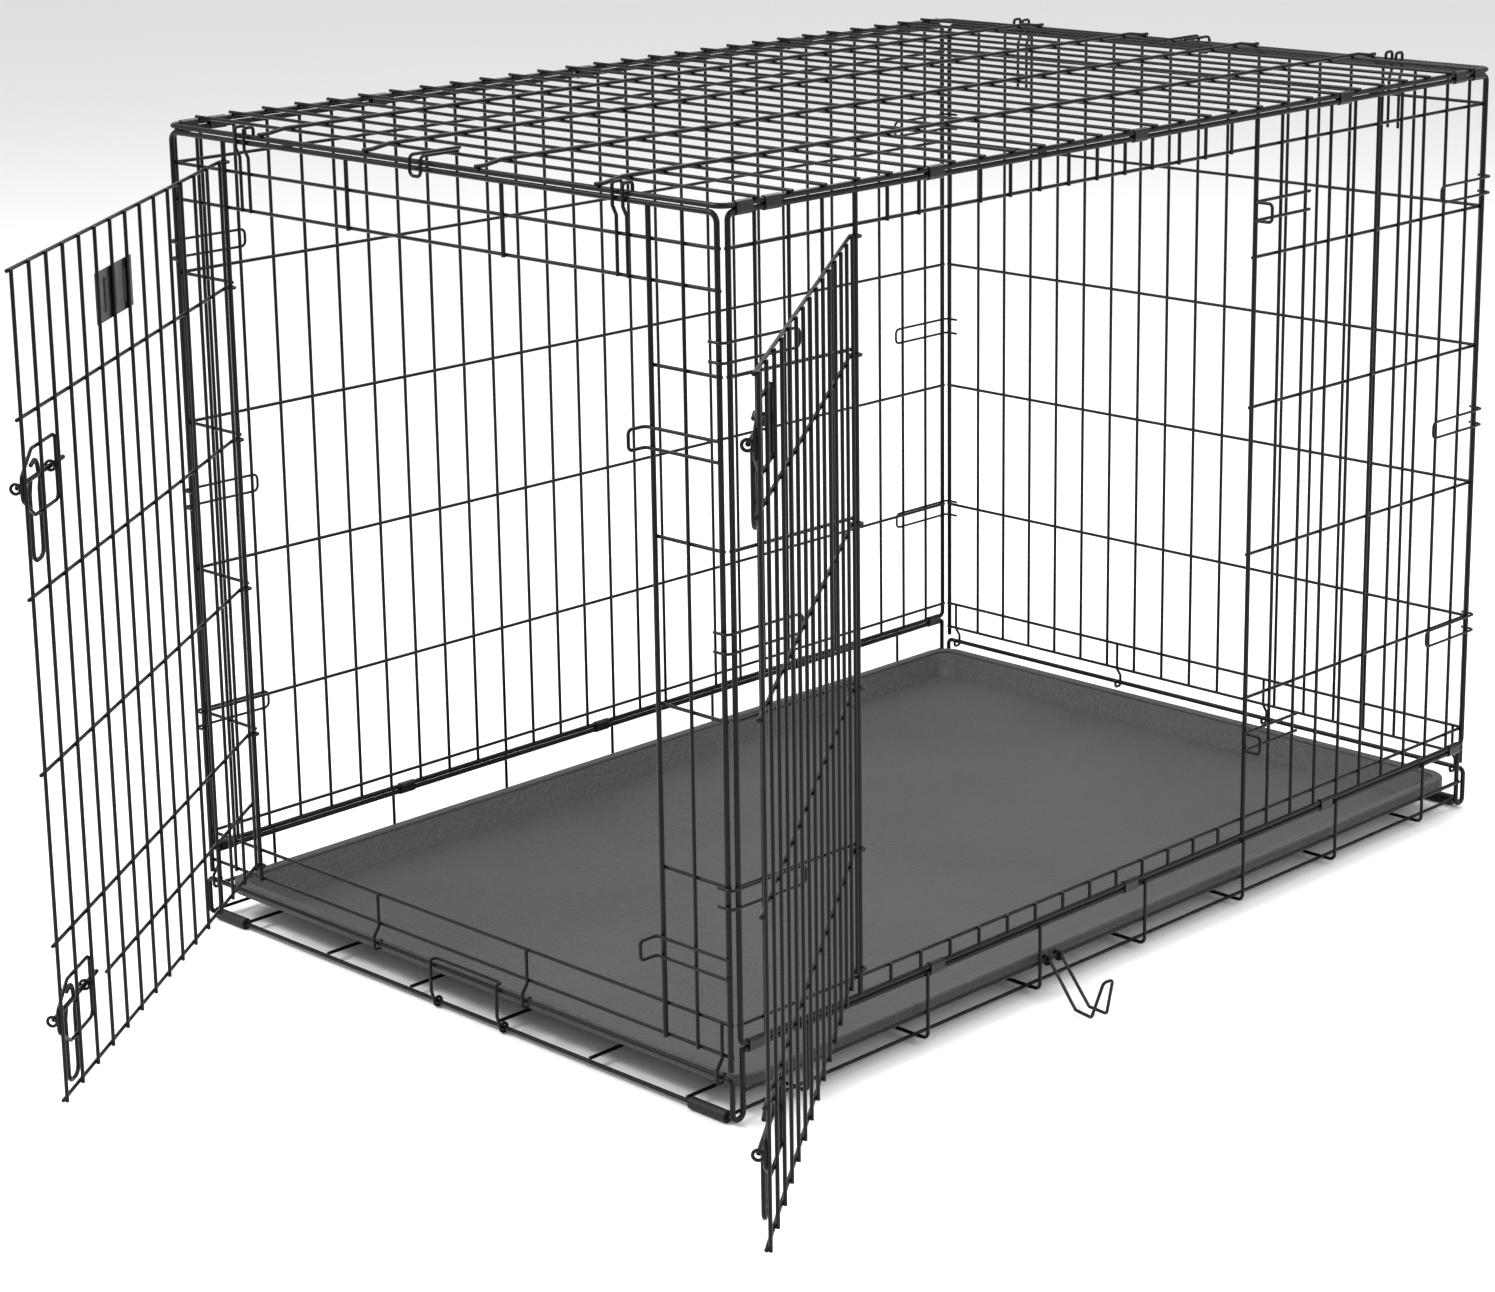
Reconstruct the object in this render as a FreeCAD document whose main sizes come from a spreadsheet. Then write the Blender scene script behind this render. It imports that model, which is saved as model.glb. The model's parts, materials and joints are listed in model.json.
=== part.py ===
import FreeCAD, Part
import math
import os
import re
import Sketcher
from FreeCAD import Placement, Rotation, Vector

# Folding wire dog crate with a front door, a side door and a slide-out pan.
# Frame: X to the side-door side, Y along the length to the rear, Z up.
# Origin: on the floor, at the centre of the crate's footprint. Units: mm.

os.makedirs("parts", exist_ok=True)
doc = FreeCAD.newDocument("dog_crate")

# --------------------------------------------------------------------------
# Driving dimensions
# --------------------------------------------------------------------------
DIMENSIONS = [
    ("frame_radius", 2.4, "radius of the heavy frame wire"),
    ("jamb_radius", 2.25, "radius of the doorways' jambs"),
    ("grid_radius", 1.6, "radius of the grille wire"),
    ("long_radius", 1.9, "radius of the lengthwise roof wire"),
    ("hook_radius", 1.5, "radius of hooks, staples and latch housings"),
    ("eye_radius", 1.7, "pressed eyes of the carry hook, wire radius"),
    ("keeper_radius", 1.3, "radius of the corner keeper hairpins"),
    ("bolt_radius", 2.0, "radius of the slide bolts"),
    ("paddle_radius", 1.8, "radius of the bolt paddles"),
    ("weld_depth", 0.4, "how deep crossing wires sink into each other"),
    ("grid_pitch", 38.1, "spacing of the grille wires"),
    ("side_plane", 353.1, "centre plane of the side panels, in X"),
    ("end_plane", 531.1, "centre plane of the end panels, in Y"),
    ("roof_end_plane", 530.1, "centre of the roof's end wires, in Y"),
    ("side_end", 524.5, "end uprights of the side panels, in Y"),
    ("end_corner", 348.0, "corner uprights of the end panels, in X"),
    ("roof_height", 759.6, "centre of the roof's perimeter wire"),
    ("top_rail_height", 754.3, "centre of the panels' top wires"),
    ("header_height", 726.0, "upper full-width grille wire"),
    ("lintel_height", 693.0, "second header wire of the end panels"),
    ("level_a_height", 625.0, "grille level"),
    ("level_b_height", 485.0, "grille level"),
    ("level_c_height", 345.0, "grille level"),
    ("level_d_height", 205.0, "grille level"),
    ("sill_height", 86.0, "sill wire of every panel"),
    ("panel_foot_height", 70.5, "bottom wire of the side panels"),
    ("end_foot_height", 58.0, "bottom wire of the end panels"),
    ("base_rail_height", 65.2, "base rail that the side panels are clipped to"),
    ("base_mid_height", 30.0, "lower base rail on each side"),
    ("base_end_height", 40.5, "base rail across each end"),
    ("base_end_plane", 533.0, "centre of the base's end rails, in Y"),
    ("floor_wire_height", 8.8, "lengthwise floor wires"),
    ("cross_wire_height", 6.0, "crosswise floor wires"),
    ("foot_wire_height", 5.4, "end floor wires that carry the foot caps"),
    ("floor_pitch", 118.0, "spacing of the lengthwise floor wires"),
    ("post_pitch", 150.0, "spacing of the crosswise floor wires"),
    ("front_jamb", 272.0, "front doorway's jambs, in X either way"),
    ("front_stile", 310.0, "uprights between jamb and corner"),
    ("header_stub", 100.0, "short uprights and hooks of the end panels, in X"),
    ("side_hinge_jamb", -381.0, "side doorway's hinge jamb, in Y"),
    ("side_latch_jamb", 152.4, "side doorway's latch jamb, in Y"),
    ("jamb_gap", 12.0, "from latch jamb to the closed door's free edge"),
    ("door_offset", 4.25, "door crossbars in front of the hinge axis"),
    ("door_swing", 54.0, "doors as set, turned from the front plane"),
    ("first_upright", 8.5, "door's first upright from the hinge axis"),
    ("front_door_top", 734.0, "front door's top wire"),
    ("front_door_foot", 71.0, "front door's bottom wire"),
    ("side_door_top", 717.0, "side door's top wire"),
    ("side_door_foot", 94.0, "side door's bottom wire"),
    ("crossbar_drop", 4.5, "door crossbars below the panels' levels"),
    ("ring_radius", 4.25, "hinge rings, centre of the wire"),
    ("front_latch_high", 567.0, "front door's upper bolt"),
    ("front_latch_low", 137.0, "front door's lower bolt"),
    ("side_latch_high", 669.0, "side door's upper bolt"),
    ("side_latch_low", 165.0, "side door's lower bolt"),
    ("housing_back", 76.0, "latch housing's length from the free edge"),
    ("housing_half", 26.0, "latch housing's half height"),
    ("bolt_offset", 9.3, "bolts in front of the hinge axis"),
    ("bolt_length", 102.0, "length of a slide bolt"),
    ("bolt_setback", 3.0, "bolt tip behind the free edge"),
    ("guide_radius", 3.8, "bolt guide rings, centre of the wire"),
    ("guide_wire", 1.3, "bolt guide rings, wire radius"),
    ("paddle_width", 22.0, "paddle, leg to leg"),
    ("paddle_drop", 66.0, "paddle's length below the bolt"),
    ("staple_gap", 5.0, "staple beside its jamb"),
    ("staple_reach", 22.0, "staple in front of its panel"),
    ("staple_half", 8.5, "staple's half height"),
    ("clip_length", 18.0, "wrapped hinge clips"),
    ("clip_bore", 2.55, "hinge clips, inner radius"),
    ("clip_wall", 0.8, "hinge clips, sheet thickness"),
    ("rail_spacing", 5.3, "between the two wires in a clip"),
    ("cap_radius", 5.4, "rubber foot caps, outer radius"),
    ("cap_bore", 2.1, "rubber foot caps, inner radius"),
    ("cap_length", 42.0, "rubber foot caps"),
    ("cap_centre", 321.0, "rubber foot caps, in X either way"),
    ("foot_wire_radius", 2.0, "end floor wires and lower base rails"),
    ("pan_width", 694.0, "pan over its rim, in X"),
    ("pan_length", 1040.0, "pan over its rim, in Y"),
    ("pan_height", 25.5, "pan from underside to rim"),
    ("pan_bottom", 11.0, "pan's underside above the floor"),
    ("pan_floor", 2.5, "pan's floor thickness"),
    ("pan_rim", 11.0, "width of the rolled rim"),
    ("pan_skin", 2.5, "thickness of the rim's skin"),
    ("pan_lip", 10.0, "depth of the rim's turned-down lip"),
    ("pan_slope", 19.0, "how far the walls slope inwards to the floor"),
    ("pan_rounding", 2.2, "rounding of the rim's edges"),
    ("pan_corner", 26.0, "pan's corner radius"),
    ("pan_foot_corner", 14.0, "corner radius at the pan's floor"),
    ("plate_width", 88.0, "blank name plate"),
    ("plate_tall", 42.0, "blank name plate"),
    ("plate_thick", 1.2, "blank name plate"),
    ("stop_half", 44.0, "pan stop's half width"),
    ("stop_centre", 22.0, "pan stop's centre, in X"),
]

sheet = doc.addObject("Spreadsheet::Sheet", "Dimensions")
D = {}
for row, (alias, value, note) in enumerate(DIMENSIONS, start=1):
    sheet.set("A%d" % row, note)
    sheet.set("B%d" % row, str(value))
    sheet.setAlias("B%d" % row, alias)
    D[alias] = value
doc.recompute()

CROSS = D["frame_radius"] + D["grid_radius"] - D["weld_depth"]
LEVELS = ("level_a_height", "level_b_height", "level_c_height", "level_d_height")
TURN = {
    "x": Rotation(Vector(0, 1, 0), 90),
    "y": Rotation(Vector(1, 0, 0), -90),
    "z": Rotation(),
}
nodes = []


# --------------------------------------------------------------------------
# Helpers
# --------------------------------------------------------------------------
def bind(obj, prop, expression):
    """Tie a property to the sheet; names of dimensions may stand in the text."""
    text = re.sub(
        r"[a-z]+(_[a-z]+)*",
        lambda m: "Dimensions." + m.group() if m.group() in D else m.group(),
        str(expression),
    )
    obj.setExpression(prop, text)


def rod(axis, start, length, radius="grid_radius"):
    """Straight wire along one axis; start, length and radius are expressions."""
    obj = doc.addObject("Part::Cylinder", "Rod")
    obj.Placement = Placement(Vector(), TURN[axis])
    bind(obj, "Radius", radius)
    bind(obj, "Height", length)
    for letter, text in zip("xyz", start):
        bind(obj, "Placement.Base." + letter, text)
    return obj


def straight(a, b, radius):
    """Straight wire between two points."""
    obj = doc.addObject("Part::Cylinder", "Run")
    bind(obj, "Radius", radius)
    obj.Height = (b - a).Length
    obj.Placement = Placement(a, Rotation(Vector(0, 0, 1), b - a))
    return obj


def elbow(before, corner, after, bend, radius):
    """Bend at a corner; returns the two ends of the arc and the arc."""
    u = (corner - before).normalize()
    v = (after - corner).normalize()
    angle = u.getAngle(v)
    trim = bend * math.tan(angle / 2)
    start = corner - u * trim
    normal = u.cross(v).normalize()
    centre = start + normal.cross(u) * bend
    out = (start - centre).normalize()
    obj = doc.addObject("Part::Torus", "Bend")
    obj.Radius1 = bend
    bind(obj, "Radius2", radius)
    obj.Angle1 = -180
    obj.Angle2 = 180
    obj.Angle3 = math.degrees(angle)
    obj.Placement = Placement(centre, Rotation(out, u, normal, "ZXY"))
    return start, corner + v * trim, obj


def weld(pieces, name="Weld"):
    """Join pieces into one solid."""
    if len(pieces) == 1:
        return pieces[0]
    obj = doc.addObject("Part::MultiFuse", name)
    obj.Shapes = pieces
    obj.Refine = False
    return obj


def wire(points, radius="hook_radius", bend=4.0, closed=False):
    """Bent wire through a list of points, as a list of one solid."""
    points = [Vector(*p) for p in points]
    count = len(points)
    inner = range(count) if closed else range(1, count - 1)
    ends = {}
    pieces = []
    for i in inner:
        before, after = points[i - 1], points[(i + 1) % count]
        first, last, arc = elbow(before, points[i], after, bend, radius)
        ends[i] = (first, last)
        pieces.append(arc)
    for i in range(count if closed else count - 1):
        j = (i + 1) % count
        a = ends[i][1] if i in ends else points[i]
        b = ends[j][0] if j in ends else points[j]
        if (b - a).Length > 0.01:
            pieces.append(straight(a, b, radius))
    return [weld(pieces)]


def ring(centre, axis, loop, radius):
    """Closed wire ring round one axis."""
    obj = doc.addObject("Part::Torus", "Ring")
    bind(obj, "Radius1", loop)
    bind(obj, "Radius2", radius)
    obj.Placement = Placement(Vector(*centre), TURN[axis])
    return obj


def fuse(name, pieces, placement=None):
    """Weld pieces into one solid and name it as a part of the crate."""
    obj = weld(pieces, name)
    obj.Label = name
    if placement:
        obj.Placement = placement
    nodes.append(obj)
    return obj


def group(name, solids, placement=None):
    """Several equal small parts that share one name."""
    obj = doc.addObject("Part::Compound", name)
    obj.Links = solids
    obj.Label = name
    if placement:
        obj.Placement = placement
    nodes.append(obj)
    return obj


# --------------------------------------------------------------------------
# Side panels
# --------------------------------------------------------------------------
def perimeter_side(s):
    """Rounded rectangle of frame wire in a side panel's plane."""
    x = s * D["side_plane"]
    y = D["side_end"]
    low, high = D["panel_foot_height"], D["top_rail_height"]
    corners = [(x, -y, low), (x, y, low), (x, y, high), (x, -y, high)]
    return wire(corners, "frame_radius", 6.0, closed=True)


def keepers(s):
    """Hairpins on a side panel that reach round the end panels' corners."""
    pieces = []
    x = s * (D["side_plane"] + 2.7)
    tip = s * 341.0
    for z in (646.0, 412.0, 198.0):
        for e in (-1, 1):
            corner = e * (D["end_plane"] + 4.2)
            turn = e * 449.0
            pieces += wire(
                [
                    (tip, corner, z + 8),
                    (x, corner, z + 8),
                    (x, turn, z + 8),
                    (x, turn, z - 8),
                    (x, corner, z - 8),
                    (tip, corner, z - 8),
                ],
                "keeper_radius",
                5.0,
            )
    return pieces


def side_panel(name, s, doorway):
    """Side panel; s is +1 on the side-door side and -1 on the other."""
    sign = "-" if s < 0 else ""
    plane = sign + "side_plane"
    layer = "%s(side_plane - 2 * grid_radius + weld_depth)" % sign
    pieces = perimeter_side(s) + keepers(s)
    for k in range(-13, 14):
        y = "%d * grid_pitch" % k
        jamb = doorway and k in (-10, 4)
        if jamb or not (doorway and -10 < k < 4):
            if jamb:
                y = "side_hinge_jamb" if k < 0 else "side_latch_jamb"
            thick = "jamb_radius" if jamb else "grid_radius"
            rise = "top_rail_height - panel_foot_height"
            pieces.append(rod("z", (plane, y, "panel_foot_height"), rise, thick))
            continue
        rise = "top_rail_height - header_height + grid_radius"
        low = "header_height - grid_radius"
        pieces.append(rod("z", (plane, y, low), rise))
        rise = "sill_height - panel_foot_height + grid_radius"
        pieces.append(rod("z", (plane, y, "panel_foot_height"), rise))
    for level in ("header_height", "sill_height"):
        pieces.append(rod("y", (layer, "-side_end", level), "2 * side_end"))
    for level in LEVELS:
        if not doorway:
            pieces.append(rod("y", (layer, "-side_end", level), "2 * side_end"))
            continue
        run = "side_hinge_jamb + side_end"
        pieces.append(rod("y", (layer, "-side_end", level), run))
        run = "side_end - side_latch_jamb"
        pieces.append(rod("y", (layer, "side_latch_jamb", level), run))
    return fuse(name, pieces)


side_panel("left_side_panel", -1, False)
side_panel("right_side_panel", 1, True)


# --------------------------------------------------------------------------
# End panels
# --------------------------------------------------------------------------
def hook_over_roof(x, e):
    """Hook that rises from an end panel and curls over the roof's end wire."""
    return wire(
        [
            (x, e * 531.1, 692.0),
            (x, e * 531.1, 741.0),
            (x, e * 535.0, 749.0),
            (x, e * 535.0, 767.8),
            (x, e * 524.2, 767.8),
            (x, e * 524.2, 758.0),
        ],
        "hook_radius",
        3.0,
    )


def hook_under_rail(x, e):
    """Hook that reaches from an end panel round the base's end rail."""
    return wire(
        [
            (x, e * 531.1, D["sill_height"]),
            (x, e * 531.1, 56.0),
            (x, e * 537.3, 47.0),
            (x, e * 537.3, 35.0),
            (x, e * 528.7, 35.0),
            (x, e * 528.7, 43.0),
        ],
        "hook_radius",
        3.0,
    )


def end_panel(name, e, doorway):
    """End panel; e is -1 at the front and +1 at the rear."""
    y = e * D["end_plane"]
    plane = ("-" if e < 0 else "") + "end_plane"
    layer = "%s(end_plane - 2 * grid_radius + weld_depth)" % ("-" if e < 0 else "")
    corner, high = D["end_corner"], D["top_rail_height"]
    arch = [(-corner, y, 47.0), (-corner, y, high), (corner, y, high), (corner, y, 47.0)]
    pieces = wire(arch, "frame_radius", 8.0)
    rise = "top_rail_height - end_foot_height + grid_radius"
    low = "end_foot_height - grid_radius"
    if doorway:
        for x in ("-front_jamb", "front_jamb"):
            pieces.append(rod("z", (x, plane, low), rise, "jamb_radius"))
        for x in ("-front_stile", "front_stile"):
            pieces.append(rod("z", (x, plane, low), rise))
        stub = "top_rail_height - lintel_height + grid_radius"
        for x in ("-header_stub", "header_stub"):
            start = (x, plane, "lintel_height - grid_radius")
            pieces.append(rod("z", start, stub, "long_radius"))
    else:
        for k in range(-8, 9):
            pieces.append(rod("z", ("%d * grid_pitch" % k, plane, low), rise))
    full = ["header_height", "sill_height", "end_foot_height"]
    if doorway:
        full.append("lintel_height")
        for level in LEVELS:
            run = "end_corner - front_jamb"
            for x in ("-end_corner", "front_jamb"):
                pieces.append(rod("x", (x, layer, level), run))
    else:
        full += LEVELS
    for level in full:
        pieces.append(rod("x", ("-end_corner", layer, level), "2 * end_corner"))
    for x in (-248.0, -236.0, 236.0, 248.0):
        pieces += hook_over_roof(x, e)
    for x in (-338.0, -D["header_stub"], D["header_stub"], 338.0):
        pieces += hook_under_rail(x, e)
    return fuse(name, pieces)


end_panel("front_panel", -1, True)
end_panel("rear_panel", 1, False)


# --------------------------------------------------------------------------
# Roof
# --------------------------------------------------------------------------
def roof():
    x, y, z = D["side_plane"], D["roof_end_plane"], D["roof_height"]
    corners = [(-x, -y, z), (x, -y, z), (x, y, z), (-x, y, z)]
    pieces = wire(corners, "frame_radius", 10.0, closed=True)
    cross = "roof_height + frame_radius + grid_radius - weld_depth"
    for k in range(-13, 14):
        start = ("-side_plane - 5", "%d * grid_pitch" % k, cross)
        pieces.append(rod("x", start, "2 * side_plane + 10"))
    high = z + CROSS + D["grid_radius"] + D["long_radius"] - D["weld_depth"]
    low = z + D["frame_radius"] + D["long_radius"] - D["weld_depth"]
    for x in (-216.0, -72.0, 72.0, 216.0):
        pieces += wire(
            [
                (x, -y - 4, low),
                (x, -y + 6, low),
                (x, -y + 25, high),
                (x, y - 25, high),
                (x, y - 6, low),
                (x, y + 4, low),
            ],
            "long_radius",
            12.0,
        )
    return fuse("roof_panel", pieces)


def roof_lock(name, e):
    """Hairpin that lies on the roof and drops over the end panel's top wire."""
    z = D["roof_height"] + CROSS + D["grid_radius"] + D["hook_radius"] + 0.1
    y = e * 538.0
    return fuse(
        name,
        wire(
            [
                (-7, e * 482, z),
                (-7, y, z),
                (-7, y, 749),
                (7, y, 749),
                (7, y, z),
                (7, e * 496, z),
            ],
            "hook_radius",
            5.0,
        ),
    )


roof()
roof_lock("front_roof_lock", -1)
roof_lock("rear_roof_lock", 1)


# --------------------------------------------------------------------------
# Base: rails, corner loops and the wire floor
# --------------------------------------------------------------------------
def base():
    pieces = []
    for e in (-1, 1):
        out, back = e * D["base_end_plane"], e * 521.0
        low, rail, end = 4.8, 66.0, D["base_end_height"]
        pieces += wire(
            [
                (-351.0, back, rail),
                (-351.0, back, low),
                (-351.0, out, low),
                (-351.0, out, end),
                (351.0, out, end),
                (351.0, out, low),
                (351.0, back, low),
                (351.0, back, rail),
            ],
            "frame_radius",
            5.6,
        )
        start = ("-351.3", e * 530.0, "foot_wire_height")
        pieces.append(rod("x", start, "702.6", "foot_wire_radius"))
    for sign, out_shift in (("-", " - 0.5"), ("", " + 0.5")):
        plane = sign + "side_plane"
        start = (plane, "-521.9", "base_rail_height")
        pieces.append(rod("y", start, "1043.8", "frame_radius"))
        start = (plane + out_shift, "-521.6", "base_mid_height")
        pieces.append(rod("y", start, "1043.2", "foot_wire_radius"))
        start = (sign + "346", "-530.5", "floor_wire_height")
        pieces.append(rod("y", start, "1061"))
    for k in (-2.5, -1.5, -0.5, 0.5, 1.5, 2.5):
        start = ("%s * floor_pitch" % k, "-530.5", "floor_wire_height")
        pieces.append(rod("y", start, "1061"))
    post = D["side_plane"] + D["frame_radius"] + D["grid_radius"] - 0.3
    for k in range(-3, 4):
        y = k * D["post_pitch"]
        low = D["cross_wire_height"]
        path = [(-post, y, 67.4), (-post, y, low), (post, y, low), (post, y, 67.4)]
        pieces += wire(path, "grid_radius", 6.0)
    return fuse("base_frame", pieces)


base()


# --------------------------------------------------------------------------
# Wrapped clips that join two parallel wires
# --------------------------------------------------------------------------
def stadium(radius, length, x, y, z):
    """Flat-sided tube blank round two stacked wires that run along Y."""
    pieces = [
        rod("y", (x, y, z), length, radius),
        rod("y", (x, y, "%s + rail_spacing" % z), length, radius),
    ]
    box = doc.addObject("Part::Box", "Web")
    bind(box, "Length", "2 * (%s)" % radius)
    bind(box, "Width", length)
    bind(box, "Height", "rail_spacing")
    bind(box, "Placement.Base.x", "%s - (%s)" % (x, radius))
    bind(box, "Placement.Base.y", y)
    bind(box, "Placement.Base.z", z)
    return weld(pieces + [box])


def clip(s, y, z):
    x = ("-" if s < 0 else "") + "side_plane"
    cut = doc.addObject("Part::Cut", "Clip")
    start = "%s - clip_length / 2" % y
    cut.Base = stadium("clip_bore + clip_wall", "clip_length", x, start, z)
    through = "%s - clip_length / 2 - 1" % y
    cut.Tool = stadium("clip_bore", "clip_length + 2", x, through, z)
    return cut


ROOF_CLIPS = (-508.0, -476.25, -285.75, -19.05, 285.75, 476.25, 508.0)
BASE_CLIPS = (-508.0, -285.75, -19.05, 285.75, 508.0)
for label, s in (("left", -1), ("right", 1)):
    found = [clip(s, y, "top_rail_height") for y in ROOF_CLIPS]
    group("%s_roof_clips" % label, found)
    found = [clip(s, y, "base_rail_height") for y in BASE_CLIPS]
    group("%s_base_clips" % label, found)


# --------------------------------------------------------------------------
# Rubber foot caps
# --------------------------------------------------------------------------
def foot_cap(x, y):
    cut = doc.addObject("Part::Cut", "Cap")
    start = "%s - cap_length / 2" % x
    cut.Base = rod("x", (start, y, "foot_wire_height"), "cap_length", "cap_radius")
    start = "%s - cap_length / 2 - 1" % x
    cut.Tool = rod("x", (start, y, "foot_wire_height"), "cap_length + 2", "cap_bore")
    return cut


for label, x, y in (
    ("front_left", "-cap_centre", -530),
    ("front_right", "cap_centre", -530),
    ("rear_left", "-cap_centre", 530),
    ("rear_right", "cap_centre", 530),
):
    group("%s_foot_cap" % label, [foot_cap(x, y)])


# --------------------------------------------------------------------------
# Doors: local x from hinge to free edge, local -y to the outside, z world up
# --------------------------------------------------------------------------
HINGE = {
    "front": Vector(-D["front_jamb"], -D["end_plane"], 0),
    "side": Vector(D["side_plane"], D["side_hinge_jamb"], 0),
}
REACH = {
    "front": 2 * D["front_jamb"] - D["jamb_gap"],
    "side": D["side_latch_jamb"] - D["side_hinge_jamb"] - D["jamb_gap"],
}
WIDTH = {
    "front": "(2 * front_jamb - jamb_gap)",
    "side": "(side_latch_jamb - side_hinge_jamb - jamb_gap)",
}


def set_open(which):
    """Both doors stand open in the same direction."""
    return Placement(HINGE[which], Rotation(Vector(0, 0, 1), -D["door_swing"]))


def door(which):
    width = WIDTH[which]
    foot, top = which + "_door_foot", which + "_door_top"
    upright = "-door_offset + 2 * grid_radius - weld_depth"
    pieces = []
    for k in range(15):
        x = "first_upright + (%s - first_upright) * %d / 14" % (width, k)
        start = (x, upright, "%s - grid_radius" % foot)
        pieces.append(rod("z", start, "%s - %s + 2 * grid_radius" % (top, foot)))
    bars = [foot, top] + ["%s - crossbar_drop" % level for level in LEVELS]
    for z in bars:
        start = ("0", "-door_offset", z)
        pieces.append(rod("x", start, "%s + grid_radius" % width))
    start = ("0", "-door_offset", "133")
    if which == "front":
        pieces.append(rod("x", start, "%s * 11 / 14" % width))
    fuse(which + "_door", pieces, set_open(which))


def hinge_rings(which):
    """Eyes round the hinge jamb at the ends of the door's crossbars."""
    heights = [D[which + "_door_foot"], D[which + "_door_top"]]
    heights += [D[level] - D["crossbar_drop"] for level in LEVELS]
    rings = [ring((0, 0, z), "z", "ring_radius", "keeper_radius") for z in heights]
    group(which + "_door_hinge_rings", rings, set_open(which))


def housing(name, which, height):
    """Closed wire frame on the door's face with two eyes that guide the bolt."""
    w, y, z = REACH[which], -D["door_offset"], height
    back, half = w - D["housing_back"], D["housing_half"]
    frame = [
        (back, y, z + half),
        (w - 24, y, z + half),
        (w + 0.5, y, z + 9),
        (w + 0.5, y, z - 9),
        (w - 24, y, z - half),
        (back, y, z - half),
    ]
    pieces = wire(frame, "hook_radius", 6.0, closed=True)
    for x in (back, w + 0.5):
        centre = (x, -D["bolt_offset"], z)
        pieces.append(ring(centre, "x", "guide_radius", "guide_wire"))
    fuse(name, pieces, set_open(which))


def bolt(name, which, height):
    """Slide bolt with the wire paddle that a finger moves it by."""
    tip = REACH[which] - D["bolt_setback"]
    y = "-bolt_offset"
    start = ("%s - bolt_setback - bolt_length" % WIDTH[which], y, height)
    pieces = [rod("x", start, "bolt_length", "bolt_radius")]
    right = tip - 29.0
    left = right - D["paddle_width"]
    face = -D["bolt_offset"]
    low = D[height] - D["paddle_drop"]
    pieces += wire(
        [
            (left, face, D[height]),
            (left, face - 1.5, D[height] - 12),
            (left, face - 1.5, low),
            (right, face - 1.5, low),
            (right, face - 1.5, D[height] - 12),
            (right, face, D[height]),
        ],
        "paddle_radius",
        8.0,
    )
    pieces += wire(
        [
            (left + 4, face, D[height]),
            (left + 4, face - 1.5, D[height] + 13),
            (left + 16, face - 1.5, D[height] + 9),
        ],
        "paddle_radius",
        4.0,
    )
    fuse(name, pieces, set_open(which))


for which in ("front", "side"):
    door(which)
    hinge_rings(which)
    for place in ("high", "low"):
        alias = "%s_latch_%s" % (which, place)
        label = {"high": "upper", "low": "lower"}[place]
        housing("%s_door_%s_latch_housing" % (which, label), which, D[alias])
        bolt("%s_door_%s_slide_bolt" % (which, label), which, alias)


# --------------------------------------------------------------------------
# Staples on the latch jambs
# --------------------------------------------------------------------------
def staple(to_world, height):
    """Hairpin welded over the jamb, turned out into an eye for the bolt.

    to_world maps (along the panel from the jamb, out of the panel, z)."""
    face = D["frame_radius"] + D["hook_radius"] - 0.3
    half, gap, reach = D["staple_half"], D["staple_gap"], D["staple_reach"]
    path = [
        (78.0, face, height + half),
        (-gap, face, height + half),
        (-gap, reach, height + half),
        (-gap, reach, height - half),
        (-gap, face, height - half),
        (78.0, face, height - half),
    ]
    return wire([to_world(*p) for p in path], "hook_radius", 4.0)[0]


def at_front(along, out, z):
    return (D["front_jamb"] + along, -D["end_plane"] - out, z)


def at_side(along, out, z):
    return (D["side_plane"] + out, D["side_latch_jamb"] + along, z)


heights = (D["front_latch_high"], D["front_latch_low"])
group("front_door_staples", [staple(at_front, z) for z in heights])
heights = (D["side_latch_high"], D["side_latch_low"])
group("side_door_staples", [staple(at_side, z) for z in heights])


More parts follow.
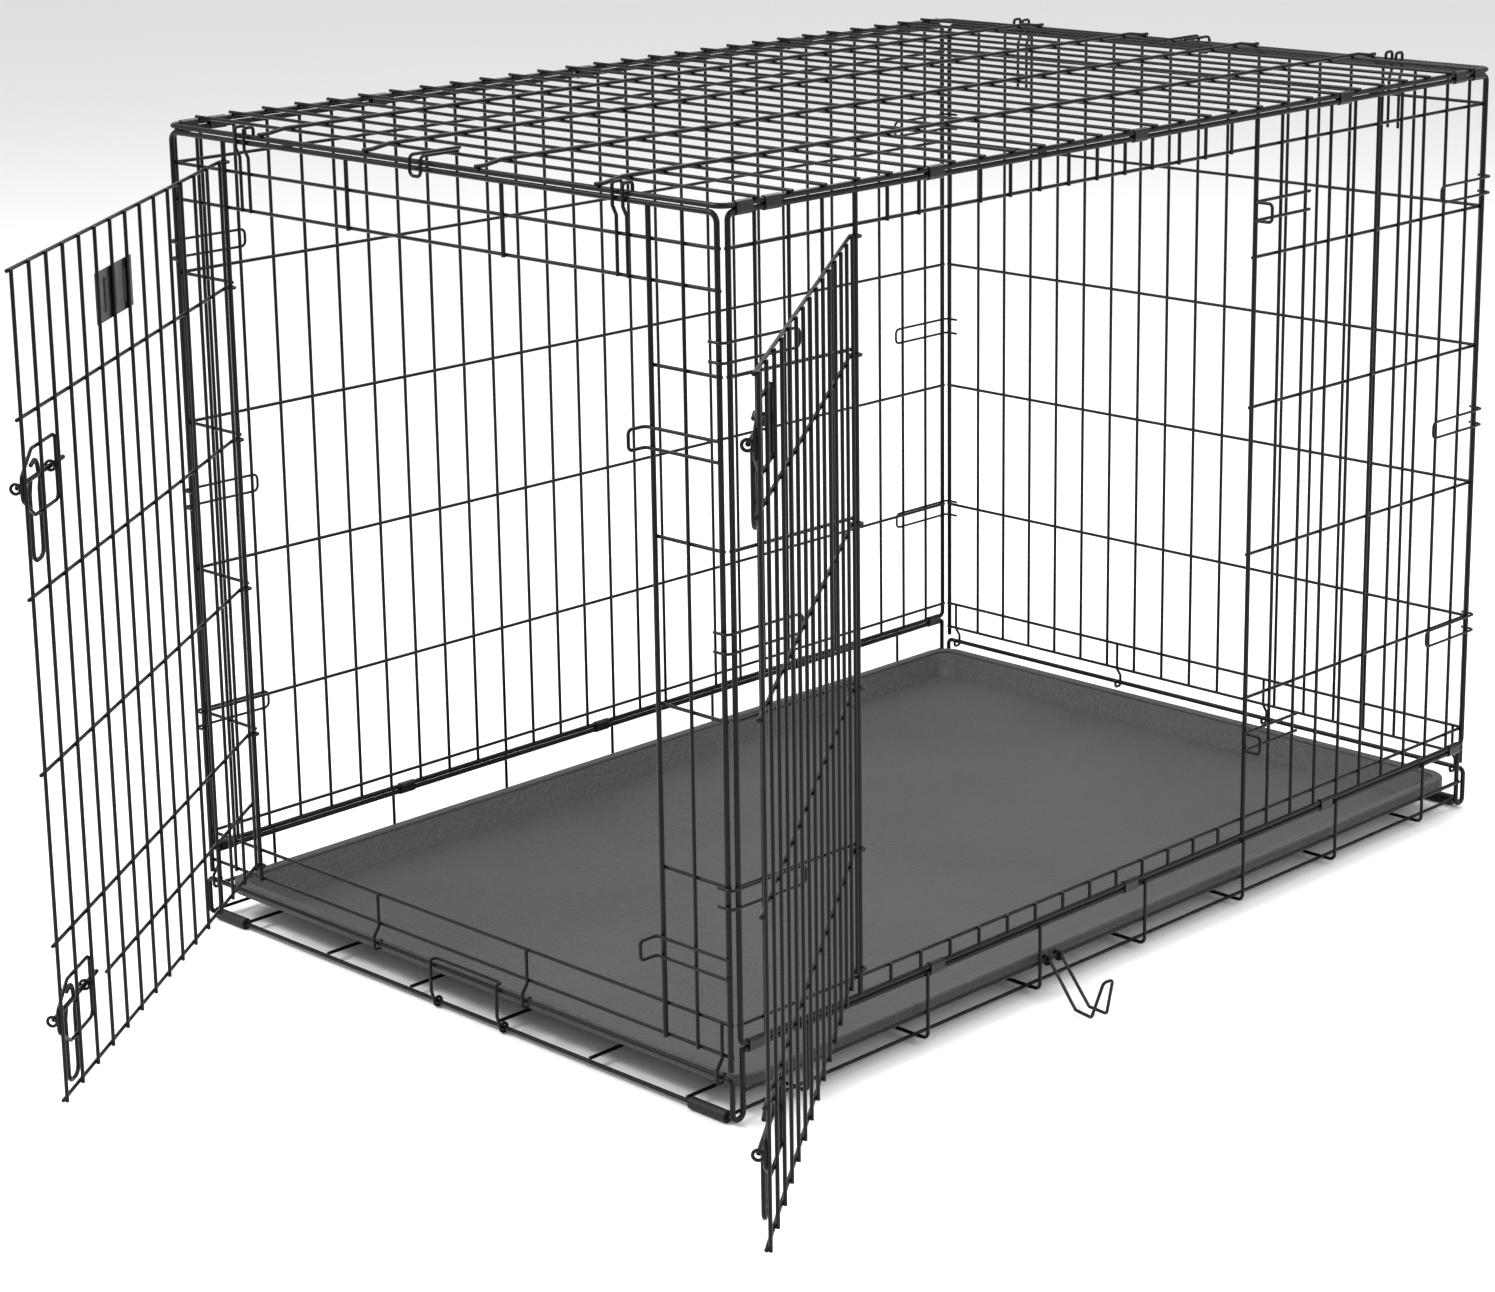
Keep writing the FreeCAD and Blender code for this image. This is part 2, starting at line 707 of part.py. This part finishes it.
# --------------------------------------------------------------------------
# Pan
# --------------------------------------------------------------------------
def sketch_rectangles(body, name, height, sizes):
    """Rounded rectangles centred on the Z axis, their sizes tied to the sheet."""
    sketch = doc.addObject("Sketcher::SketchObject", name)
    body.addObject(sketch)
    bind(sketch, "AttachmentOffset.Base.z", height)
    sketch.AttachmentSupport = [(body.Origin.OriginFeatures[3], "")]
    sketch.MapMode = "FlatFace"
    add = sketch.addConstraint
    for number, (width, length, corner) in enumerate(sizes):
        w, h, r = 300.0 - 20 * number, 400.0 - 20 * number, 10.0
        arcs = []
        for cx, cy, first in ((w, h, 0), (-w, h, 90), (-w, -h, 180), (w, -h, 270)):
            circle = Part.Circle(Vector(cx, cy, 0), Vector(0, 0, 1), r)
            begin, stop = math.radians(first), math.radians(first + 90)
            arcs.append(sketch.addGeometry(Part.ArcOfCircle(circle, begin, stop)))
        lines = []
        for (ax, ay), (bx, by) in (
            ((w, h + r), (-w, h + r)),
            ((-w - r, h), (-w - r, -h)),
            ((-w, -h - r), (w, -h - r)),
            ((w + r, -h), (w + r, h)),
        ):
            line = Part.LineSegment(Vector(ax, ay, 0), Vector(bx, by, 0))
            lines.append(sketch.addGeometry(line))
        for i in range(4):
            add(Sketcher.Constraint("Tangent", arcs[i], 2, lines[i], 1))
            add(Sketcher.Constraint("Tangent", lines[i], 2, arcs[(i + 1) % 4], 1))
        for i in range(1, 4):
            add(Sketcher.Constraint("Equal", arcs[0], arcs[i]))
        for flat, upright in ((0, 1), (2, 3)):
            add(Sketcher.Constraint("Horizontal", lines[flat]))
            add(Sketcher.Constraint("Vertical", lines[upright]))
        add(Sketcher.Constraint("Symmetric", arcs[0], 3, arcs[2], 3, -1, 1))
        radius = add(Sketcher.Constraint("Radius", arcs[0], r))
        wide = add(Sketcher.Constraint("DistanceX", arcs[1], 3, arcs[0], 3, 2 * w))
        deep = add(Sketcher.Constraint("DistanceY", arcs[3], 3, arcs[0], 3, 2 * h))
        bind(sketch, "Constraints[%d]" % radius, corner)
        bind(sketch, "Constraints[%d]" % wide, "%s - 2 * (%s)" % (width, corner))
        bind(sketch, "Constraints[%d]" % deep, "%s - 2 * (%s)" % (length, corner))
    return sketch


def inset(margin, corner="pan_corner - (%s)"):
    """Size of the pan's outline moved inwards by a margin."""
    return (
        "pan_width - 2 * (%s)" % margin,
        "pan_length - 2 * (%s)" % margin,
        corner % margin if "%" in corner else corner,
    )


def feature(body, kind, name, sketch, length):
    obj = doc.addObject("PartDesign::" + kind, name)
    body.addObject(obj)
    obj.Profile = sketch
    bind(obj, "Length", length)
    return obj


def loft(body, kind, name, low, high):
    """Sloping walls between two outlines."""
    obj = doc.addObject("PartDesign::" + kind, name)
    body.addObject(obj)
    obj.Profile = low
    obj.Sections = [high]
    obj.Ruled = True
    return obj


def pan():
    """Moulded pan: a tray with sloping walls under a rim with a turned-down lip."""
    body = doc.addObject("PartDesign::Body", "pan")
    under_rim, under_lip = "pan_height - pan_skin", "pan_height - pan_lip"
    rim = [inset("0"), inset("pan_rim")]
    lip = [inset("0"), inset("pan_skin")]
    flange = sketch_rectangles(body, "Flange", under_rim, rim)
    feature(body, "Pad", "Rim", flange, "pan_skin")
    skirt = sketch_rectangles(body, "Skirt", under_lip, lip)
    feature(body, "Pad", "Lip", skirt, "pan_lip")
    foot = [inset("pan_slope + pan_rim - pan_skin", "pan_foot_corner")]
    shoulder = [inset("pan_rim - pan_skin")]
    low = sketch_rectangles(body, "TrayFoot", "0", foot)
    high = sketch_rectangles(body, "TrayTop", under_rim, shoulder)
    loft(body, "AdditiveLoft", "Tray", low, high)
    foot = [inset("pan_slope + pan_rim", "pan_foot_corner")]
    low = sketch_rectangles(body, "FloorLine", "pan_floor", foot)
    high = sketch_rectangles(body, "Mouth", "pan_height", [inset("pan_rim")])
    hollow = loft(body, "SubtractiveLoft", "Hollow", low, high)
    doc.recompute()
    top = D["pan_height"]
    edges = [
        "Edge%d" % (i + 1)
        for i, edge in enumerate(hollow.Shape.Edges)
        if abs(edge.BoundBox.ZMin - top) < 0.01 and abs(edge.BoundBox.ZMax - top) < 0.01
    ]
    rounding = doc.addObject("PartDesign::Fillet", "RimRounding")
    body.addObject(rounding)
    rounding.Base = (hollow, edges)
    bind(rounding, "Radius", "pan_rounding")
    body.Placement = Placement(Vector(0, 0, D["pan_bottom"]), Rotation())
    nodes.append(body)


pan()


# --------------------------------------------------------------------------
# Blank name plate on the front door
# --------------------------------------------------------------------------
def name_plate():
    face = -D["door_offset"] + D["grid_radius"] - D["weld_depth"] - D["plate_thick"]
    middle, height = 300.0, 676.0
    plate = doc.addObject("Part::Box", "Plate")
    bind(plate, "Length", "plate_width")
    bind(plate, "Width", "plate_thick")
    bind(plate, "Height", "plate_tall")
    corner = Vector(middle - D["plate_width"] / 2, face, height - D["plate_tall"] / 2)
    plate.Placement = Placement(corner, Rotation())
    pieces = [plate]
    for x in (-24.0, 0.0, 24.0):
        a = Vector(middle + x, face + 0.4, height - 14)
        b = Vector(middle + x, face + 0.4, height + 14)
        pieces.append(straight(a, b, "long_radius"))
    fuse("front_door_name_plate", pieces, set_open("front"))


name_plate()


# --------------------------------------------------------------------------
# Pan stop and carry hook
# --------------------------------------------------------------------------
def pan_stop():
    """Wire gate that pivots on the front floor wire and snaps over the rail."""
    y, z = -530.0, D["foot_wire_height"]
    front, over = -537.4, 46.8
    a = D["stop_centre"] - D["stop_half"]
    b = D["stop_centre"] + D["stop_half"]
    eye = D["foot_wire_radius"] + 0.3 + D["hook_radius"]
    pieces = wire(
        [
            (a, y - eye, z),
            (a, front, z + 12),
            (a, front, over),
            (a, -531.0, over),
            (b, -531.0, over),
            (b, front, over),
            (b, front, z + 12),
            (b, y - eye, z),
        ],
        "hook_radius",
        3.0,
    )
    for x in (a, b):
        eye_ring = doc.addObject("Part::Torus", "Eye")
        eye_ring.Radius1 = eye
        bind(eye_ring, "Radius2", "hook_radius")
        eye_ring.Placement = Placement(Vector(x, y, z), TURN["x"])
        pieces.append(eye_ring)
    fuse("pan_stop", pieces)


def carry_hook():
    """Wire hook that hangs from the lower base rail down to the floor.

    Its two legs turn up again and meet in a tip."""
    x, z = D["side_plane"] + 0.5, D["base_mid_height"]
    eye = D["foot_wire_radius"] + 0.3 + D["eye_radius"]
    near, far, tip = -137.0, -121.0, -168.0
    pieces = wire(
        [
            (x + eye, near, z),
            (x + 54, near - 25, 4.5),
            (x + 76, near - 30, 5.0),
            (x + 90, tip, 42),
            (x + 92, tip + 10, 42),
            (x + 80, far - 30, 5.0),
            (x + 58, far - 27, 4.5),
            (x + eye, far, z),
        ],
        "hook_radius",
        4.0,
    )
    for y in (near, far):
        eye_ring = doc.addObject("Part::Torus", "Eye")
        eye_ring.Radius1 = eye
        bind(eye_ring, "Radius2", "eye_radius")
        eye_ring.Placement = Placement(Vector(x, y, z), TURN["y"])
        pieces.append(eye_ring)
    fuse("carry_hook", pieces)


pan_stop()
carry_hook()

# --------------------------------------------------------------------------
# Check and write
# --------------------------------------------------------------------------
doc.recompute()
for obj in doc.Objects:
    if "Invalid" in obj.State or "Error" in obj.State:
        raise RuntimeError("%s is %s" % (obj.Label, obj.State))
for node in nodes:
    shape = node.Shape
    if shape.isNull() or not shape.isValid():
        raise RuntimeError("%s has no valid shape" % node.Label)
    print(node.Label, len(shape.Solids), round(shape.Volume), shape.BoundBox)
    shape.exportStep("parts/%s.step" % node.Label)
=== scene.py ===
import json
import math

import bpy
from mathutils import Matrix, Vector

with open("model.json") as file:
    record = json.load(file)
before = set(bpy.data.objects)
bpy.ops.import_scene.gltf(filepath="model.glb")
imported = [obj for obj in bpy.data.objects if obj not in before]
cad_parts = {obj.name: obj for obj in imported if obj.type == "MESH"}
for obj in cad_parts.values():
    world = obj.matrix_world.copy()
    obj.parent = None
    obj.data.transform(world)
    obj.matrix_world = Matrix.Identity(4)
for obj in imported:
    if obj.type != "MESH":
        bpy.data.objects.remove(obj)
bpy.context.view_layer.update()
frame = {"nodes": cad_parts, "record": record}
scene = bpy.context.scene
scene.view_settings.view_transform = "Standard"


# --------------------------------------------------------------------------
# Materials
# --------------------------------------------------------------------------
def new_material(name, gloss):
    """Material with a Principled shader; returns it with its nodes, links and shader."""
    material = bpy.data.materials.new(name)
    material.use_nodes = True
    nodes, links = material.node_tree.nodes, material.node_tree.links
    shader = nodes["Principled BSDF"]
    shader.inputs["Specular IOR Level"].default_value = gloss
    return material, nodes, links, shader


def noise(nodes, links, scale, detail=3.0):
    """Noise texture that sticks to the object."""
    coords = nodes.new("ShaderNodeTexCoord")
    texture = nodes.new("ShaderNodeTexNoise")
    texture.inputs["Scale"].default_value = scale
    texture.inputs["Detail"].default_value = detail
    links.new(coords.outputs["Object"], texture.inputs["Vector"])
    return texture.outputs["Fac"]


def grain(nodes, links, scale, smoothness):
    """Rounded cells, as in leather, that stick to the object."""
    coords = nodes.new("ShaderNodeTexCoord")
    texture = nodes.new("ShaderNodeTexVoronoi")
    texture.feature = "SMOOTH_F1"
    texture.inputs["Scale"].default_value = scale
    texture.inputs["Smoothness"].default_value = smoothness
    links.new(coords.outputs["Object"], texture.inputs["Vector"])
    return texture.outputs["Distance"]


def total(nodes, links, first, second):
    """Adds two textures."""
    node = nodes.new("ShaderNodeMath")
    node.operation = "ADD"
    links.new(first, node.inputs[0])
    links.new(second, node.inputs[1])
    return node.outputs["Value"]


def spread(nodes, links, factor, low, high):
    """Maps the middle of a 0 to 1 texture, where most of it lies, onto the range low to high."""
    remap = nodes.new("ShaderNodeMapRange")
    remap.inputs["From Min"].default_value = 0.3
    remap.inputs["From Max"].default_value = 0.7
    remap.inputs["To Min"].default_value = low
    remap.inputs["To Max"].default_value = high
    links.new(factor, remap.inputs["Value"])
    return remap.outputs["Result"]


def mottle(nodes, links, shader, factor, dark, light):
    """Base colour that drifts between two close shades."""
    mix = nodes.new("ShaderNodeMix")
    mix.data_type = "RGBA"
    mix.inputs["A"].default_value = (*dark, 1)
    mix.inputs["B"].default_value = (*light, 1)
    links.new(spread(nodes, links, factor, 0, 1), mix.inputs["Factor"])
    links.new(mix.outputs["Result"], shader.inputs["Base Color"])


def polish(nodes, links, shader, factor, low, high):
    """Roughness that drifts between two values."""
    links.new(spread(nodes, links, factor, low, high), shader.inputs["Roughness"])


def bump(nodes, links, shader, height, strength, distance):
    """Fine relief on the surface."""
    node = nodes.new("ShaderNodeBump")
    node.inputs["Strength"].default_value = strength
    node.inputs["Distance"].default_value = distance
    links.new(height, node.inputs["Height"])
    links.new(node.outputs["Normal"], shader.inputs["Normal"])


def coated_wire():
    """Black electro-coat: thin, smooth and satin, with a slight orange peel."""
    material, nodes, links, shader = new_material("coated_wire", gloss=0.16)
    peel = noise(nodes, links, scale=420.0, detail=2.0)
    drift = noise(nodes, links, scale=9.0)
    mottle(nodes, links, shader, drift, dark=(0.0035, 0.0035, 0.004), light=(0.007, 0.007, 0.0075))
    polish(nodes, links, shader, drift, low=0.24, high=0.36)
    bump(nodes, links, shader, peel, strength=0.12, distance=0.0002)
    return material


def pressed_clip():
    """Sheet-steel clip in a glossier black."""
    material, nodes, links, shader = new_material("pressed_clip", gloss=0.3)
    drift = noise(nodes, links, scale=60.0)
    mottle(nodes, links, shader, drift, dark=(0.004, 0.004, 0.0045), light=(0.009, 0.009, 0.0095))
    polish(nodes, links, shader, drift, low=0.2, high=0.34)
    return material


def pan_plastic():
    """Moulded charcoal plastic: leather grain, faint scuffs and a satin sheen."""
    material, nodes, links, shader = new_material("pan_plastic", gloss=0.35)
    drift = noise(nodes, links, scale=5.0, detail=6.0)
    mottle(nodes, links, shader, drift, dark=(0.030, 0.028, 0.029), light=(0.046, 0.043, 0.044))
    polish(nodes, links, shader, drift, low=0.36, high=0.5)
    cells = grain(nodes, links, scale=260.0, smoothness=0.6)
    fine = noise(nodes, links, scale=900.0, detail=2.0)
    bump(nodes, links, shader, total(nodes, links, cells, fine), strength=0.8, distance=0.0009)
    return material


def foot_rubber():
    """Dull black rubber."""
    material, nodes, links, shader = new_material("foot_rubber", gloss=0.2)
    shader.inputs["Roughness"].default_value = 0.55
    drift = noise(nodes, links, scale=80.0)
    mottle(nodes, links, shader, drift, dark=(0.009, 0.009, 0.009), light=(0.016, 0.016, 0.016))
    bump(nodes, links, shader, drift, strength=0.2, distance=0.0004)
    return material


def plate_plastic():
    """Smooth moulded black plastic of the blank plate."""
    material, nodes, links, shader = new_material("plate_plastic", gloss=0.3)
    drift = noise(nodes, links, scale=40.0)
    mottle(nodes, links, shader, drift, dark=(0.006, 0.006, 0.0065), light=(0.012, 0.012, 0.0125))
    polish(nodes, links, shader, drift, low=0.24, high=0.36)
    return material


def pale_floor():
    """Matt near-white paper."""
    material, _, _, shader = new_material("pale_floor", gloss=0.1)
    shader.inputs["Base Color"].default_value = (0.88, 0.88, 0.88, 1)
    shader.inputs["Roughness"].default_value = 0.8
    return material


FINISH = {
    "black_wire": coated_wire(),
    "clip_steel": pressed_clip(),
    "pan_plastic": pan_plastic(),
    "foot_rubber": foot_rubber(),
    "plate_plastic": plate_plastic(),
}
for subpart in frame["record"]["subparts"]:
    node = frame["nodes"][subpart["node"]]
    for place in node.material_slots:
        place.material = FINISH[subpart["material_slot"]]


# --------------------------------------------------------------------------
# Floor, light and camera
# --------------------------------------------------------------------------
def floor():
    bpy.ops.mesh.primitive_plane_add(size=40, location=(0, 0, 0))
    plane = bpy.context.object
    plane.name = "studio_floor"
    plane.data.materials.append(pale_floor())


def softbox(name, at, size, power, aim=(0, 0, 0.35)):
    """Square area light pointed at a place on the crate."""
    data = bpy.data.lights.new(name, "AREA")
    data.size = size
    data.energy = power
    lamp = bpy.data.objects.new(name, data)
    lamp.location = at
    away = Vector(aim) - Vector(at)
    lamp.rotation_euler = away.to_track_quat("-Z", "Y").to_euler()
    scene.collection.objects.link(lamp)


def surroundings(brightness):
    """Even white light from all round."""
    world = bpy.data.worlds.new("studio")
    scene.world = world
    world.use_nodes = True
    background = world.node_tree.nodes["Background"]
    background.inputs["Color"].default_value = (1, 1, 1, 1)
    background.inputs["Strength"].default_value = brightness


CAMERA_AT = Vector((2.198, -2.369, 1.189))
HEADING = math.radians(44.74)
TILT = math.radians(-14.23)
ROLL = math.radians(-0.87)
LENS_MM = 83.0
SENSOR_MM = 36.0
SHIFT_UP = -0.0977


def camera():
    """Looks down on the corner between the two doors."""
    level = math.cos(TILT)
    ahead = Vector((-math.sin(HEADING) * level, math.cos(HEADING) * level, math.sin(TILT)))
    across = ahead.cross(Vector((0, 0, 1))).normalized()
    up = across.cross(ahead)
    right = across * math.cos(ROLL) + up * math.sin(ROLL)
    up = up * math.cos(ROLL) - across * math.sin(ROLL)
    data = bpy.data.cameras.new("camera")
    data.sensor_width = SENSOR_MM
    data.lens = LENS_MM
    data.shift_y = SHIFT_UP
    data.clip_end = 60.0
    shooter = bpy.data.objects.new("camera", data)
    turn = Matrix((right, up, -ahead)).transposed().to_4x4()
    shooter.matrix_world = Matrix.Translation(CAMERA_AT) @ turn
    scene.collection.objects.link(shooter)
    scene.camera = shooter


floor()
surroundings(brightness=0.8)
softbox("key", at=(-1.4, -2.2, 3.0), size=1.6, power=130)
softbox("fill", at=(3.4, 0.8, 2.2), size=2.0, power=60)
softbox("top", at=(-0.4, 1.4, 3.4), size=2.2, power=90)
camera()
